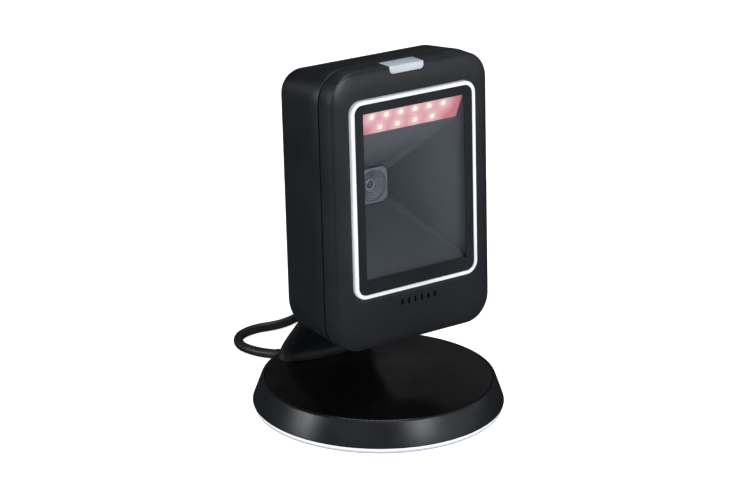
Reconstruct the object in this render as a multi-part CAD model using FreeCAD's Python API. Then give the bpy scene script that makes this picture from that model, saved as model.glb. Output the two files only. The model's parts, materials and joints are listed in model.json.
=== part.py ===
import FreeCAD, Part
import math
import os

# A desktop hands-free code scanner: a tall optical head on a curved neck, a weighted round base and a USB lead.
# Millimetres, +Z up, the scanner looks along -Y. The origin is the base's centre, on the surface it stands on.
# The head is drawn in its own frame: X across, Y back from the window, Z up from the window's centre.

V = FreeCAD.Vector
UP = V(0, 0, 1)
ACROSS = V(1, 0, 0)
BACK = V(0, 1, 0)

# Base
BASE_R = 50.0
SKIRT_FOOT_Z = 3.0
SKIRT_TOP_R = 46.4
BASE_TOP_Z = 12.8
PLATE_R = 45.3
PLATE_T = 1.4
DECK_T = 2.0
SKIRT_WALL = 2.5
COVER_R = 49.2
COVER_LOW_Z = 0.6
BALLAST_R = 35.0
FOOT_RING_R = 36.0
FOOT_R = 6.0
FOOT_T = 1.4
FOOT_ANGLES = (0, 90, 180, 270)
BASE_SCREW_RING_R = 40.0
BASE_SCREW_ANGLES = (30, 150, 210, 330)
DECK_TOP_Z = BASE_TOP_Z - PLATE_T
DECK_LOW_Z = DECK_TOP_Z - DECK_T

# Neck: ellipses at rising heights as (z, centre y, half width, half depth)
NECK_SECTIONS = (
    (DECK_TOP_Z, 34.0, 24.2, 9.8),
    (15.0, 36.3, 22.2, 7.9),
    (24.0, 30.9, 21.2, 7.0),
    (33.0, 23.9, 20.6, 6.4),
    (41.0, 19.3, 20.2, 6.0),
    (45.0, 18.3, 20.0, 5.9),
)
NECK_WALL = 2.2
NECK_HOLLOW_TOP_Z = 36.5
NECK_SPLIT = ((32.8, 5.0), (32.8, 17.0), (26.3, 25.5), (20.3, 33.0), (16.8, 38.5))
FRONT_COVER_TOP_Z = 38.5
NECK_SCREW_X = 15.0
NECK_SCREW_Y = 36.6

# Hinge that the head nods about
HINGE_Y = 18.3
HINGE_Z = 45.0
KNUCKLE_R = 6.0
KNUCKLE_HALF_W = 20.0
LUG_HALF_W = 11.4
LUG_KNUCKLE_R = 5.2
SLOT_HALF_W = 12.2
SLOT_R = 8.4
PIN_R = 2.0
RUNNING_GAP = 0.05
PIN_RECESS_X = 17.2
PIN_RECESS_R = 3.6
CAP_T = 0.9
WASHER_T = 0.55
WASHER_GAP = 0.1

# Head
HEAD_ORIGIN = V(0, -23.39, 97.15)
HEAD_LEAN_DEG = 2.9
HEAD_DEPTH = 36.2
SEAM_Y = 9.9
SEAM_GAP = 0.5
SHELL_WALL = 2.2
EDGE_Y = 2.9
RING_SHELL_Y = 1.8
FRONT_WALL_Y = 4.9
BOSS_END_Y = 19.9
POST_START_Y = 20.2
REAR_ROUND = 4.0
LAP_T = 1.25
LAP_LENGTH = 2.4

# Window
WINDOW_Z = -1.0
RING_HALF_W = 28.9
RING_HALF_H = 38.4
RING_R = 5.0
RING_BAND = 1.55
RING_BACK_Y = 3.6
GLASS_Y = 0.4
GLASS_T = 1.5
MASK_T = 0.2
GASKET_T = 0.6
OPENING_HALF_W = 23.55
OPENING_HALF_H = 32.25
LIP_HALF_W = 25.85
LIP_HALF_H = 33.45

# Optics
LENS_Z = -5.4
CHAMBER_BACK_Y = 29.6
MOUTH_HALF_W = 24.8
THROAT_HALF = 7.0
CHAMBER_WALL = 1.2
CHAMBER_FRONT_Y = 1.95
SPIGOT_BACK_Y = 5.0
SPIGOT_HALF = (25.6, 33.2)
FLANGE_HALF_W = 27.0
FLANGE_HALF_H = 37.2
PANEL_HIGH = (1.95, 32.3)
PANEL_LOW = (4.35, 23.1)
PANEL_T = 0.8
LED_ROWS = ((0.255, 6, 6.66), (0.76, 4, 8.13))
LED_CENTRE_X = -1.3
LED_SIZE = (1.7, 1.6, 0.5)
SHELL_SCREWS = ((-30, 34), (30, 34), (-30, -50), (30, -50))
BOARD_SCREWS = ((-22, -25), (22, -25), (-22, -53), (22, -53))
BOARD_Y = 24.0
BOARD_T = 1.6
LUG_SCREW_Z = -50.0

# Light pipe and sounder
PIPE_CENTRE_X = -1.2
PIPE_HALF_W = 7.9
PIPE_LOW_Z = 44.7
PIPE_CORNER = 1.0
PIPE_TOP_LOW_Z = 46.2
PIPE_CUT_Z = 50.0
PIPE_T = 1.6
STEM_LOW = (-3.0, 5.4, 42.6)
STEM_HIGH = (3.0, 8.4, 46.3)
STEM_GAP = 0.1
SLOT_COUNT = 6
SLOT_PITCH = 3.1
SLOT_W = 1.0
SLOT_H = 2.4
SLOT_CENTRE_X = 1.5
SLOT_CENTRE_Z = -44.65

# Lead
CORD_D = 4.0
CORD_EXIT = V(-4.0, 49.0, 5.0)
BOOT_END = V(-8.1, 60.2, 3.4)
BOOT_ROOT = 3.6
BOOT_RIBS = (3.0, 2.8, 2.6)
BOOT_TIP_R = 2.3
CORD_ROUTE = (
    BOOT_END,
    V(-11.3, 69.0, 2.0),
    V(-14.1, 79.5, 2.0),
    V(-8.9, 89.2, 2.0),
    V(1.6, 92.7, 2.0),
    V(13.3, 89.9, 2.0),
    V(24.9, 93.0, 2.0),
    V(36.0, 97.5, 2.8),
)
COIL_CENTRE = V(52.0, 77.0, 0)
COIL_INNER_R = 16.0
COIL_OUTER_R = 28.0
COIL_LOW_Z = 0.8
COIL_TOP_Z = 12.8
TIE_T = 0.8
TIE_W = 7.0
TIE_ANGLE_DEG = 200
TAIL_Z = 14.9
TAIL_R = 20.0
TAIL_TURN_X = 41.0
TAIL_NEAR_Y = 55.0
PLUG_RELIEF = 5.0
PLUG_BODY = 15.0
PLUG_W = 12.0
PLUG_T = 7.6
PLUG_SHELL = 11.7
PLUG_SHELL_W = 11.6
PLUG_SHELL_T = 4.5


def save(name, *solids):
    """Write one node: one solid, or a group of separate ones."""
    shape = solids[0] if len(solids) == 1 else Part.makeCompound(list(solids))
    shape.exportStep(f"parts/{name}.step")
    print(f"{name:22s} {shape.Volume / 1000:8.3f} cm3  solids {len(shape.Solids)}  valid {shape.isValid()}")


def in_head(shape):
    """Place a shape drawn in the head's frame."""
    placed = shape.copy()
    placed.Placement = FreeCAD.Placement(HEAD_ORIGIN, FreeCAD.Rotation(ACROSS, -HEAD_LEAN_DEG)).multiply(
        placed.Placement
    )
    return placed


def save_head(name, *solids):
    save(name, *[in_head(solid) for solid in solids])


def box(low, high):
    return Part.makeBox(high[0] - low[0], high[1] - low[1], high[2] - low[2], V(*low))


def rod(start, direction, length, radius):
    return Part.makeCylinder(radius, length, V(*start), V(*direction))


def fused(first, *others):
    for other in others:
        first = first.fuse(other)
    return first.removeSplitter()


def cut(shape, *tools):
    for tool in tools:
        shape = shape.cut(tool)
    return shape


def polar(radius, degrees, z=0.0):
    turn = math.radians(degrees)
    return V(radius * math.cos(turn), radius * math.sin(turn), z)


def outline(half_w, low, high, radius, depth, low_radius=None):
    """A rounded rectangle that stands in the XZ plane at one depth."""
    low_radius = low_radius or radius
    corners = (
        (half_w - low_radius, low + low_radius, low_radius, -90),
        (half_w - radius, high - radius, radius, 0),
        (radius - half_w, high - radius, radius, 90),
        (low_radius - half_w, low + low_radius, low_radius, 180),
    )
    arcs = []
    for x, z, corner_r, start in corners:
        turns = [math.radians(start + step) for step in (0, 45, 90)]
        arcs.append([V(x + corner_r * math.cos(t), depth, z + corner_r * math.sin(t)) for t in turns])
    edges = []
    for arc, after in zip(arcs, arcs[1:] + arcs[:1]):
        edges.append(Part.Arc(*arc).toShape())
        edges.append(Part.makeLine(arc[2], after[0]))
    return Part.Wire(edges)


def slab(half_w, low, high, radius, front, back):
    return Part.Face(outline(half_w, low, high, radius, front)).extrude(V(0, back - front, 0))


def between(first, second):
    """The solid between two outlines."""
    return Part.makeLoft([first, second], True, True)


def turned(profile, base=V(0, 0, 0), axis=UP):
    """Turn a closed (radius, height) profile about Z."""
    points = [V(r, 0, z) for r, z in profile]
    face = Part.Face(Part.makePolygon(points + points[:1]))
    solid = face.revolve(V(0, 0, 0), UP, 360)
    solid.Placement = FreeCAD.Placement(base, FreeCAD.Rotation(UP, axis))
    return solid


def side_prism(points, half_w):
    """Extrude a (y, z) outline across the part."""
    corners = [V(-half_w, y, z) for y, z in points]
    return Part.Face(Part.makePolygon(corners + corners[:1])).extrude(V(2 * half_w, 0, 0))


def screw(tip, direction, length, shank_r, head_r, head_t):
    """A pan-head screw from its tip towards its head, with a cross recess."""
    shank = turned(((0, 0), (shank_r * 0.6, 0), (shank_r, shank_r * 1.5), (shank_r, length), (0, length)))
    head = rod((0, 0, length), UP, head_t, head_r)
    head = head.makeFillet(head_t * 0.4, [head.Edges[0]])
    recess_t = head_t * 0.6
    arm = head_r * 1.3
    slots = [
        box((-arm / 2, -0.3, length + head_t - recess_t), (arm / 2, 0.3, length + head_t)),
        box((-0.3, -arm / 2, length + head_t - recess_t), (0.3, arm / 2, length + head_t)),
    ]
    solid = cut(fused(shank, head), *slots)
    solid.Placement = FreeCAD.Placement(V(*tip), FreeCAD.Rotation(UP, V(*direction)))
    return solid


def tube(points, diameter, name):
    """Straight runs joined by tangent arcs, as large as the two runs beside each allow."""
    edges = []
    start = points[0]
    radii = []
    for before, corner, after in zip(points, points[1:], points[2:]):
        into = corner - before
        out = after - corner
        turn = into.getAngle(out)
        setback = 0.45 * min(into.Length, out.Length)
        radii.append(setback / math.tan(turn / 2))
        into.normalize()
        out.normalize()
        first = corner - into * setback
        last = corner + out * setback
        bisector = (out - into).normalize()
        centre = corner + bisector * (radii[-1] / math.cos(turn / 2))
        middle = centre - bisector * radii[-1]
        edges.append(Part.LineSegment(start, first).toShape())
        edges.append(Part.Arc(first, middle, last).toShape())
        start = last
    edges.append(Part.LineSegment(start, points[-1]).toShape())
    path = Part.Wire(edges)
    section = Part.Wire([Part.makeCircle(diameter / 2, points[0], points[1] - points[0])])
    solid = path.makePipeShell([section], True, False)
    expected = math.pi * diameter**2 / 4 * path.Length
    print(
        f"{name}: length {path.Length:.1f}, volume {solid.Volume:.1f} of {expected:.1f},",
        "radii",
        [round(radius, 1) for radius in radii],
    )
    return solid


def boot_form():
    """The strain relief: a flange and a collar inside the skirt, then a ribbed taper outside it."""
    direction = (BOOT_END - CORD_EXIT).normalize()
    start = CORD_EXIT - direction * BOOT_ROOT
    length = (BOOT_END - start).Length
    profile = [(0, 0), (3.4, 0), (3.4, 1.2), (2.7, 1.4), (2.7, 3.4), (3.3, 3.7), (3.3, 5.4)]
    for rib, radius in enumerate(BOOT_RIBS):
        rib_start = 5.7 + 2.0 * rib
        profile += [(radius - 0.35, rib_start), (radius, rib_start + 1.5)]
    profile += [(BOOT_TIP_R, rib_start + 1.8), (BOOT_TIP_R, length), (0, length)]
    return turned(profile, start, direction), start, direction


def base_shell(boot, exit_direction):
    shell = turned((
        (BASE_R, SKIRT_FOOT_Z),
        (SKIRT_TOP_R, BASE_TOP_Z - 0.5),
        (SKIRT_TOP_R - 0.5, BASE_TOP_Z),
        (PLATE_R, BASE_TOP_Z),
        (PLATE_R, DECK_TOP_Z),
        (0, DECK_TOP_Z),
        (0, DECK_LOW_Z),
        (SKIRT_TOP_R - SKIRT_WALL, DECK_LOW_Z),
        (BASE_R - SKIRT_WALL, SKIRT_FOOT_Z),
    ))
    bosses = []
    holes = []
    for angle in BASE_SCREW_ANGLES:
        foot = polar(BASE_SCREW_RING_R, angle, SKIRT_FOOT_Z)
        bosses.append(rod(foot, UP, DECK_LOW_Z - SKIRT_FOOT_Z + 0.5, 2.8))
        holes.append(rod(foot, UP, DECK_LOW_Z - SKIRT_FOOT_Z, 1.05))
    for x in (-NECK_SCREW_X, NECK_SCREW_X):
        holes.append(rod((x, NECK_SCREW_Y, DECK_LOW_Z), UP, DECK_T, 1.5))
    holes.append(rod((0, NECK_SCREW_Y, DECK_LOW_Z), UP, DECK_T, 3.4))
    holes.append(rod(CORD_EXIT - exit_direction * 8, exit_direction, 12, 2.8))
    return cut(fused(shell, *bosses), *holes, boot)


def bottom_cover(boot):
    cover = turned((
        (0, COVER_LOW_Z),
        (COVER_R - 1.2, COVER_LOW_Z),
        (COVER_R - 0.35, COVER_LOW_Z + 0.35),
        (COVER_R, COVER_LOW_Z + 1.2),
        (COVER_R, SKIRT_FOOT_Z),
        (0, SKIRT_FOOT_Z),
    ))
    pockets = [rod(polar(FOOT_RING_R, angle), UP, FOOT_T, FOOT_R) for angle in FOOT_ANGLES]
    for angle in BASE_SCREW_ANGLES:
        pockets.append(rod(polar(BASE_SCREW_RING_R, angle), UP, 1.9, 2.6))
        pockets.append(rod(polar(BASE_SCREW_RING_R, angle), UP, SKIRT_FOOT_Z, 1.3))
    return cut(cover, *pockets, boot)


def ballast_plate():
    disc = rod((0, 0, SKIRT_FOOT_Z), UP, DECK_LOW_Z - SKIRT_FOOT_Z, BALLAST_R)
    rim = [edge for edge in disc.Edges if edge.Curve.TypeId == "Part::GeomCircle"]
    return disc.makeChamfer(0.6, rim)


def neck_body(shrink, low_z, high_z):
    """The neck's smooth form, made smaller all round by shrink, between two heights."""
    rings = []
    for z, y, half_w, half_d in NECK_SECTIONS:
        ellipse = Part.Ellipse(V(0, y, z), half_w - shrink, half_d - shrink)
        rings.append(Part.Wire([ellipse.toShape()]))
    form = Part.makeLoft(rings, True, False)
    return form.common(box((-60, -10, low_z), (60, 60, high_z)))


def neck_parts():
    outer = neck_body(0, 0, 80)
    hollow = neck_body(NECK_WALL, 0, NECK_HOLLOW_TOP_Z)
    knuckle = rod((-KNUCKLE_HALF_W, HINGE_Y, HINGE_Z), ACROSS, 2 * KNUCKLE_HALF_W, KNUCKLE_R)
    ends = [edge for edge in knuckle.Edges if edge.Curve.TypeId == "Part::GeomCircle"]
    knuckle = knuckle.makeFillet(1.2, ends)
    shell = cut(fused(outer, knuckle), hollow)
    slot = rod((-SLOT_HALF_W, HINGE_Y, HINGE_Z), ACROSS, 2 * SLOT_HALF_W, SLOT_R)
    holes = [rod((-30, HINGE_Y, HINGE_Z), ACROSS, 60, PIN_R + RUNNING_GAP)]
    for side in (-1, 1):
        holes.append(rod((side * PIN_RECESS_X, HINGE_Y, HINGE_Z), (side, 0, 0), 5, PIN_RECESS_R))
    shell = cut(shell, slot, *holes)
    front = side_prism(NECK_SPLIT + ((-5.0, FRONT_COVER_TOP_Z), (-5.0, 5.0)), 40)
    cover = shell.common(front)
    rear = shell.cut(front)
    bosses = []
    for x in (-NECK_SCREW_X, NECK_SCREW_X):
        boss = rod((x, NECK_SCREW_Y, DECK_TOP_Z), UP, 6, 3.0)
        bosses.append(boss.common(outer))
    pilots = [rod((x, NECK_SCREW_Y, DECK_TOP_Z), UP, 5, 1.05) for x in (-NECK_SCREW_X, NECK_SCREW_X)]
    rear = cut(fused(rear, *bosses), *pilots)
    return outer, cover, rear


def hinge_parts():
    shaft = rod((-PIN_RECESS_X, HINGE_Y, HINGE_Z), ACROSS, 2 * PIN_RECESS_X + 1.5, PIN_R)
    head = rod((-PIN_RECESS_X - 1.7, HINGE_Y, HINGE_Z), ACROSS, 1.7, 3.2)
    save("hinge_pin", fused(shaft, head))
    corners = [V(PIN_RECESS_X, HINGE_Y, HINGE_Z) + V(0, p.x, p.y) for p in (polar(3.4, 60 * k) for k in range(6))]
    nut = Part.Face(Part.makePolygon(corners + corners[:1])).extrude(V(1.5, 0, 0))
    save("hinge_nut", nut.cut(rod((PIN_RECESS_X, HINGE_Y, HINGE_Z), ACROSS, 2, PIN_R)))
    washers = []
    caps = []
    for side in (-1, 1):
        washer_x = side * (LUG_HALF_W + WASHER_GAP)
        washer = rod((washer_x, HINGE_Y, HINGE_Z), (side, 0, 0), WASHER_T, 5.0)
        washers.append(washer.cut(rod((washer_x, HINGE_Y, HINGE_Z), (side, 0, 0), WASHER_T, PIN_R + RUNNING_GAP)))
        cap = rod((side * (KNUCKLE_HALF_W - CAP_T), HINGE_Y, HINGE_Z), (side, 0, 0), CAP_T, PIN_RECESS_R)
        caps.append(cap)
    save("friction_washers", *washers)
    save("hinge_caps", *caps)


def head_outline(inset, y):
    """The head's outer outline at a depth, moved in by inset: the front band, then the deeper rear body."""
    if y <= SEAM_Y:
        part = (y - EDGE_Y) / (SEAM_Y - EDGE_Y)
        half_w, low, high = 36.2 + 0.45 * part, -60.4 - 0.1 * part, 47.7 + 0.25 * part
        radius = low_radius = 10.8 + 0.5 * part
    else:
        part = (y - SEAM_Y) / (HEAD_DEPTH - SEAM_Y)
        half_w, low, high = 36.85 + 0.6 * part, -60.6 + 1.2 * part, 48.0 - 3.2 * part
        radius, low_radius = 11.4 - 2.8 * part, 11.4 + 3.6 * part
    return outline(half_w - inset, low + inset, high - inset, radius - inset, y, low_radius - inset)


def front_block():
    """The front shell before it is hollowed: a drafted side band and a gently crowned face."""
    band = between(head_outline(0, EDGE_Y), head_outline(0, SEAM_Y))
    ring_edge = outline(RING_HALF_W, WINDOW_Z - RING_HALF_H, WINDOW_Z + RING_HALF_H, RING_R, RING_SHELL_Y)
    crown = between(ring_edge, head_outline(0, EDGE_Y))
    return fused(band, crown)


def light_pipe_space(block):
    """The L-shaped notch over the top edge that the light pipe fills, with its lower corners cut off."""
    left, right = PIPE_CENTRE_X - PIPE_HALF_W, PIPE_CENTRE_X + PIPE_HALF_W
    top = box((left, 0, PIPE_TOP_LOW_Z), (right, SEAM_Y, PIPE_CUT_Z))
    points = (
        (left, PIPE_LOW_Z + PIPE_CORNER),
        (left + PIPE_CORNER, PIPE_LOW_Z),
        (right - PIPE_CORNER, PIPE_LOW_Z),
        (right, PIPE_LOW_Z + PIPE_CORNER),
        (right, PIPE_CUT_Z),
        (left, PIPE_CUT_Z),
    )
    corners = [V(x, 0, z) for x, z in points]
    face = Part.Face(Part.makePolygon(corners + corners[:1])).extrude(V(0, EDGE_Y + PIPE_T, 0))
    return fused(top, face).common(block)


def front_shell(block):
    inner = between(head_outline(SHELL_WALL, FRONT_WALL_Y), head_outline(SHELL_WALL, SEAM_Y))
    window = slab(RING_HALF_W, WINDOW_Z - RING_HALF_H, WINDOW_Z + RING_HALF_H, RING_R, 0, FRONT_WALL_Y)
    lap_outer = between(head_outline(LAP_T, SEAM_Y - 0.6), head_outline(LAP_T, SEAM_Y)).cut(inner)
    lap_end_y = SEAM_Y + LAP_LENGTH
    lap = between(head_outline(LAP_T + 0.1, SEAM_Y), head_outline(LAP_T + 0.1, lap_end_y))
    lap = lap.cut(between(head_outline(SHELL_WALL, SEAM_Y), head_outline(SHELL_WALL, lap_end_y)))
    shell = cut(block, inner, window)
    shell = fused(shell, lap_outer, lap)
    bosses = [rod((x, FRONT_WALL_Y, z), BACK, BOSS_END_Y - FRONT_WALL_Y, 2.6) for x, z in SHELL_SCREWS]
    pilots = [rod((x, FRONT_WALL_Y + 1, z), BACK, 15, 1.05) for x, z in SHELL_SCREWS]
    slots = []
    for k in range(SLOT_COUNT):
        x = SLOT_CENTRE_X + (k - (SLOT_COUNT - 1) / 2) * SLOT_PITCH
        low, high = SLOT_CENTRE_Z - SLOT_H / 2, SLOT_CENTRE_Z + SLOT_H / 2
        cutter = slab(SLOT_W / 2, low, high, SLOT_W / 2 - 0.02, 0, FRONT_WALL_Y)
        cutter.translate(V(x, 0, 0))
        slots.append(cutter)
    gap = V(STEM_GAP, STEM_GAP, STEM_GAP)
    stem_hole = box(V(*STEM_LOW) - gap, V(*STEM_HIGH) + gap)
    return cut(fused(shell, *bosses), light_pipe_space(block), stem_hole, *pilots, *slots)


def rear_shell():
    start_y = SEAM_Y + SEAM_GAP
    body = between(head_outline(0, start_y), head_outline(0, HEAD_DEPTH))
    rear_edges = [edge for edge in body.Edges if edge.BoundBox.YMin > HEAD_DEPTH - 0.01]
    body = body.makeFillet(REAR_ROUND, rear_edges)
    back_y = HEAD_DEPTH - SHELL_WALL
    inner = between(head_outline(SHELL_WALL, start_y), head_outline(SHELL_WALL, back_y))
    rebate = between(head_outline(LAP_T, start_y), head_outline(LAP_T, SEAM_Y + LAP_LENGTH + 0.2))
    posts = [rod((x, POST_START_Y, z), BACK, back_y - POST_START_Y + 0.4, 3.2) for x, z in SHELL_SCREWS]
    board_back_y = BOARD_Y + BOARD_T
    posts += [rod((x, board_back_y, z), BACK, back_y - board_back_y + 0.4, 2.2) for x, z in BOARD_SCREWS]
    shell = fused(cut(body, inner, rebate), *posts)
    holes = [rod((x, 20, z), BACK, 20, 1.4) for x, z in SHELL_SCREWS]
    holes += [rod((x, HEAD_DEPTH - 2.0, z), BACK, 3, 2.7) for x, z in SHELL_SCREWS]
    holes += [rod((x, board_back_y, z), BACK, 5, 0.95) for x, z in BOARD_SCREWS]
    holes += [rod((x, back_y - 1, LUG_SCREW_Z), BACK, 5, 1.4) for x in (-7, 7)]
    return cut(shell, *holes)


def window_parts():
    low, high = WINDOW_Z - RING_HALF_H, WINDOW_Z + RING_HALF_H
    inner_w, inner_low, inner_high = RING_HALF_W - RING_BAND, low + RING_BAND, high - RING_BAND
    pane_back_y = GLASS_Y + GLASS_T
    seat_y = pane_back_y + GASKET_T
    ring = slab(RING_HALF_W, low, high, RING_R, 0, RING_BACK_Y)
    front_edges = [edge for edge in ring.Edges if edge.BoundBox.YMax < 0.01]
    ring = ring.makeFillet(0.45, front_edges)
    ring = ring.cut(slab(inner_w, inner_low, inner_high, RING_R - RING_BAND, -1, seat_y))
    lip_hole = slab(LIP_HALF_W, -LIP_HALF_H, LIP_HALF_H, 1.0, 0, 10)
    ring = ring.cut(lip_hole)
    save_head("window_ring", ring)
    pane = (inner_w - 0.05, inner_low + 0.05, inner_high - 0.05, RING_R - RING_BAND)
    save_head("window_glass", slab(*pane, GLASS_Y, pane_back_y))
    mask = slab(*pane, GLASS_Y - MASK_T, GLASS_Y)
    opening = slab(OPENING_HALF_W, -OPENING_HALF_H, OPENING_HALF_H, 0.3, 0, 10)
    save_head("window_mask", mask.cut(opening))
    save_head("window_gasket", slab(*pane, pane_back_y, seat_y).cut(lip_hole))


def chamber_outline(grow, y, high=None):
    """The light chamber narrows in a straight funnel from the window, and from the lighting panel, to the lens."""
    opening_y = GLASS_Y + GLASS_T
    part = (y - opening_y) / (CHAMBER_BACK_Y - opening_y)
    half_w = MOUTH_HALF_W + (THROAT_HALF - MOUTH_HALF_W) * part
    low = (LENS_Z - THROAT_HALF) * part - OPENING_HALF_H * (1 - part)
    if high is None:
        beyond = (y - PANEL_LOW[0]) / (CHAMBER_BACK_Y - PANEL_LOW[0])
        high = PANEL_LOW[1] + (LENS_Z + THROAT_HALF - PANEL_LOW[1]) * beyond
    return outline(half_w + grow, low - grow, high + grow, 0.4 + 2.6 * part, y)


def on_panel(share, x=0.0):
    """A point on the lit face of the lighting panel, by its share of the way down."""
    return V(
        x,
        PANEL_HIGH[0] + (PANEL_LOW[0] - PANEL_HIGH[0]) * share,
        PANEL_HIGH[1] + (PANEL_LOW[1] - PANEL_HIGH[1]) * share,
    )


def optics_parts():
    down = (on_panel(1) - on_panel(0)).normalize()
    behind = V(0, -down.z, down.y)
    high_w = chamber_outline(0, PANEL_HIGH[0]).BoundBox.XMax - 0.05
    low_w = chamber_outline(0, PANEL_LOW[0]).BoundBox.XMax - 0.05
    corners = [on_panel(0, -high_w), on_panel(0, high_w), on_panel(1, low_w), on_panel(1, -low_w)]
    panel = Part.Face(Part.makePolygon(corners + corners[:1])).extrude(behind * PANEL_T)
    save_head("illumination_board", panel)

    step = on_panel(1) - on_panel(0)
    front_y = 0.5
    front_high = PANEL_HIGH[1] + (front_y - PANEL_HIGH[0]) * step.z / step.y
    mouth = between(chamber_outline(0, front_y, front_high), chamber_outline(0, PANEL_LOW[0]))
    hollow = fused(mouth, between(chamber_outline(0, PANEL_LOW[0]), chamber_outline(0, CHAMBER_BACK_Y)))
    funnel = between(chamber_outline(CHAMBER_WALL, PANEL_LOW[0]), chamber_outline(CHAMBER_WALL, CHAMBER_BACK_Y))
    spigot = slab(SPIGOT_HALF[0], -SPIGOT_HALF[1], SPIGOT_HALF[1], 1.0, CHAMBER_FRONT_Y, SPIGOT_BACK_Y)
    flange_low, flange_high = WINDOW_Z - FLANGE_HALF_H, WINDOW_Z + FLANGE_HALF_H
    flange = slab(FLANGE_HALF_W, flange_low, flange_high, 2.0, RING_BACK_Y, SPIGOT_BACK_Y)
    save_head("optical_chamber", cut(fused(funnel, spigot, flange), hollow, panel))

    slope = math.degrees(math.atan2(-down.y, -down.z))
    leds = []
    for share, count, pitch in LED_ROWS:
        for k in range(count):
            led = box((-LED_SIZE[0] / 2, -LED_SIZE[2], -LED_SIZE[1] / 2), (LED_SIZE[0] / 2, 0, LED_SIZE[1] / 2))
            place = on_panel(share, LED_CENTRE_X + (k - (count - 1) / 2) * pitch)
            led.Placement = FreeCAD.Placement(place, FreeCAD.Rotation(ACROSS, -slope))
            leds.append(led)
    save_head("illumination_leds", *leds)

    bezel = slab(THROAT_HALF, LENS_Z - THROAT_HALF, LENS_Z + THROAT_HALF, 3.0, CHAMBER_BACK_Y - 1.4, CHAMBER_BACK_Y)
    bezel = bezel.common(hollow)
    save_head("lens_bezel", bezel.cut(rod((0, 20, LENS_Z), BACK, 20, 6.2)))
    barrel = turned(
        ((3.0, 0), (3.6, 0), (4.6, 1.0), (5.2, 0.4), (6.15, 0.4), (6.15, 3.2), (1.8, 3.2), (1.8, 1.6)),
        V(0, CHAMBER_BACK_Y - 1.2, LENS_Z),
        BACK,
    )
    save_head("lens_barrel", barrel)
    save_head("lens_glass", rod((0, CHAMBER_BACK_Y + 0.4, LENS_Z), BACK, 1.6, 1.8))
    sensor_y = CHAMBER_BACK_Y + 3.0
    carrier = box((-11, CHAMBER_BACK_Y, LENS_Z - 9), (11, sensor_y, LENS_Z + 9))
    save_head("lens_carrier", carrier.cut(rod((0, 20, LENS_Z), BACK, 20, 6.15)))
    save_head("sensor_board", box((-11, sensor_y, LENS_Z - 9), (11, sensor_y + 1.0, LENS_Z + 9)))
    save_head("image_sensor", box((-3, CHAMBER_BACK_Y + 2.0, LENS_Z - 2.4), (3, sensor_y, LENS_Z + 2.4)))


def electronics_parts():
    board = box((-25, BOARD_Y, -56), (25, BOARD_Y + BOARD_T, -22))
    holes = [rod((x, BOARD_Y - 1, z), BACK, 4, 1.2) for x, z in BOARD_SCREWS]
    save_head("main_board", cut(board, *holes))
    save_head("board_screws", *[screw((x, BOARD_Y + 4.5, z), (0, -1, 0), 4.5, 0.9, 1.9, 1.2) for x, z in BOARD_SCREWS])
    save_head("decoder_chip", box((-12, BOARD_Y - 1.2, -41), (-1, BOARD_Y, -30)))
    save_head("memory_chip", box((4, BOARD_Y - 1.0, -40), (12, BOARD_Y, -32)))
    save_head("lead_socket", box((-6, BOARD_Y - 4.5, -54), (6, BOARD_Y, -48)))
    buzzer = turned(((0, 0), (5.6, 0), (6, 0.4), (6, 5.2), (0, 5.2)), V(SLOT_CENTRE_X, 5.4, SLOT_CENTRE_Z - 1.5), BACK)
    port = rod((SLOT_CENTRE_X, 4, SLOT_CENTRE_Z - 1.5), BACK, 3, 1.0)
    save_head("buzzer", buzzer.cut(port))
    felt = slab(10.0, SLOT_CENTRE_Z - 2.0, SLOT_CENTRE_Z + 2.0, 1.0, FRONT_WALL_Y, FRONT_WALL_Y + 0.4)
    felt.translate(V(SLOT_CENTRE_X, 0, 0))
    save_head("sounder_felt", felt)
    save_head("status_led", box((-1.6, 5.4, 41.4), (1.6, 8.4, 42.4)))
    save_head("status_board", box((-8, 5.2, 40.4), (8, 12, 41.4)))


def lug_parts():
    """The lug that joins the head to the neck, drawn in the head's frame about the hinge line."""
    reach = V(0, HINGE_Y, HINGE_Z) - HEAD_ORIGIN
    lean = math.radians(HEAD_LEAN_DEG)
    y = reach.y * math.cos(lean) - reach.z * math.sin(lean)
    z = reach.y * math.sin(lean) + reach.z * math.cos(lean)
    points = ((HEAD_DEPTH, z - 4.6), (HEAD_DEPTH, z + 5.6), (y, z + LUG_KNUCKLE_R), (y, z - LUG_KNUCKLE_R + 0.6))
    lug = fused(side_prism(points, LUG_HALF_W), rod((-LUG_HALF_W, y, z), ACROSS, 2 * LUG_HALF_W, LUG_KNUCKLE_R))
    bore = rod((-LUG_HALF_W - 1, y, z), ACROSS, 2 * LUG_HALF_W + 2, PIN_R + RUNNING_GAP)
    pilots = [rod((x, HEAD_DEPTH, LUG_SCREW_Z), BACK, 2.4, 1.05) for x in (-7, 7)]
    save_head("hinge_lug", cut(lug, bore, *pilots))
    tip_y = HEAD_DEPTH + 2.2
    length = tip_y - (HEAD_DEPTH - SHELL_WALL)
    save_head("lug_screws", *[screw((x, tip_y, LUG_SCREW_Z), (0, -1, 0), length, 1.0, 2.2, 1.4) for x in (-7, 7)])


def head_parts():
    block = front_block()
    save_head("front_shell", front_shell(block))
    save_head("rear_shell", rear_shell())
    pipe = light_pipe_space(block)
    stem = box(STEM_LOW, STEM_HIGH)
    save_head("light_pipe", fused(pipe, stem))
    tip_y = 14.0
    length = HEAD_DEPTH - 2.0 - tip_y
    save_head("shell_screws", *[screw((x, tip_y, z), BACK, length, 1.0, 2.3, 1.5) for x, z in SHELL_SCREWS])
    window_parts()
    optics_parts()
    electronics_parts()
    lug_parts()


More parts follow.
